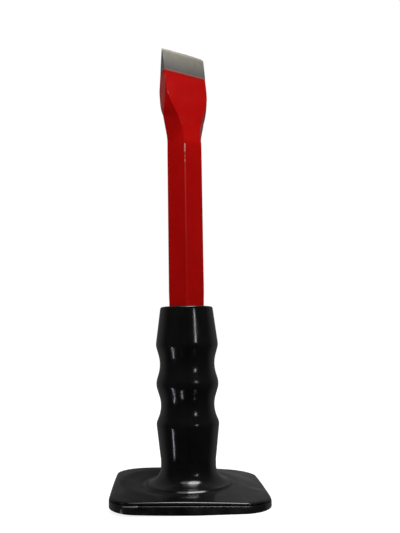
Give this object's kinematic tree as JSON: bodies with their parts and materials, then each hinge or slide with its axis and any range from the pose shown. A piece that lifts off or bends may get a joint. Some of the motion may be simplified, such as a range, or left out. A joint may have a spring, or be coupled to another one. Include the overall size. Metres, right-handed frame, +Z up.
{
  "type": "cold chisel",
  "caption": "Cold chisel with a red hexagonal shank, flat ground blade and black grooved hand guard with a square plate.",
  "frame": {"origin": "centre of the guard's base, in the plane of the rim that the chisel stands on, on the bar's axis", "axes": "+Z up the bar from the striking head to the cutting edge; X and Y along the sides of the square guard plate; the blade's width is turned 30 degrees from +X towards +Y"},
  "size_m": [0.0812, 0.0812, 0.2505],
  "materials": {
    "red_lacquer": "gloss",
    "black_pvc": "gloss"
  },
  "bodies": {
    "guard": {"hand_guard": "black_pvc"},
    "bar": {"chisel_bar": "red_lacquer"}
  },
  "joints": [
    {"name": "bar_pull", "type": "slide", "parent": "guard", "child": "bar", "axis": [0, 0, 1], "range_m": [0, 0.095]}
  ]
}
